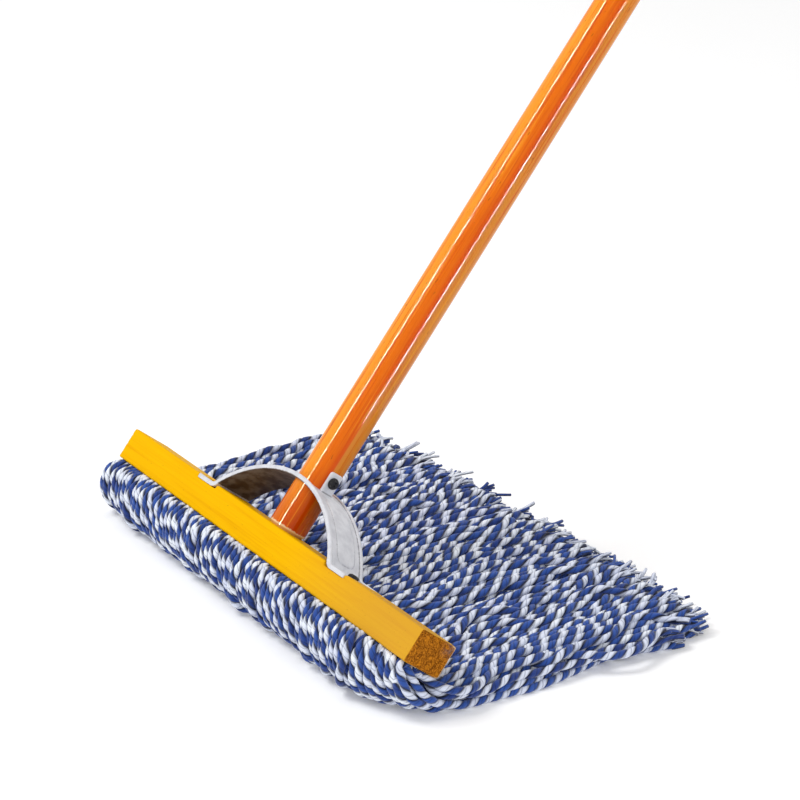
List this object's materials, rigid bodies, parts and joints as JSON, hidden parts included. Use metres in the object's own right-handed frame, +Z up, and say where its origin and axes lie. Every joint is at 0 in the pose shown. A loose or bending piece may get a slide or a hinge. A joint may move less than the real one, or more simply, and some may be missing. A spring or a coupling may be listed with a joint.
{
  "type": "flat mop",
  "caption": "Flat cotton floor mop: a painted wooden bar on a long lacquered pole with a steel arch brace, and a mat of two-ply yarn that trails behind the bar.",
  "frame": {"origin": "on the floor, straight below the middle of the wooden bar", "axes": "+X along the bar, +Y the way the yarn trails, +Z up; the pole leans back towards +Y at 51 degrees above the floor"},
  "size_m": [0.3556, 0.8029, 0.9865],
  "materials": {
    "lacquered_pine": "glossy lacquer",
    "painted_wood": "satin paint with bare end grain",
    "zinc_steel": "satin zinc",
    "black_screw": "black oxide",
    "plain_screw": "satin",
    "bare_wood": "bare",
    "cotton_yarn": "blue and white twisted cotton"
  },
  "bodies": {
    "yarn_mat": {"yarn_roll": "cotton_yarn", "yarn_hank_01": "cotton_yarn", "yarn_hank_02": "cotton_yarn", "yarn_hank_03": "cotton_yarn", "yarn_hank_04": "cotton_yarn", "yarn_hank_05": "cotton_yarn", "yarn_hank_06": "cotton_yarn", "yarn_hank_07": "cotton_yarn", "yarn_hank_08": "cotton_yarn", "yarn_hank_09": "cotton_yarn", "yarn_hank_10": "cotton_yarn"},
    "mop_head": {"handle_pole": "lacquered_pine", "mop_bar": "painted_wood", "arch_bracket": "zinc_steel", "tab_screw": "black_screw", "foot_screws": "black_screw", "pole_end_screw": "plain_screw", "clamp_batten": "bare_wood", "batten_screws": "plain_screw", "nipped_yarn": "cotton_yarn"}
  },
  "joints": [
    {"name": "handle_tilt", "type": "hinge", "parent": "yarn_mat", "child": "mop_head", "pos_m": [0, 0, 0.04], "axis": [1, 0, 0], "range_deg": [-25, 39]}
  ]
}
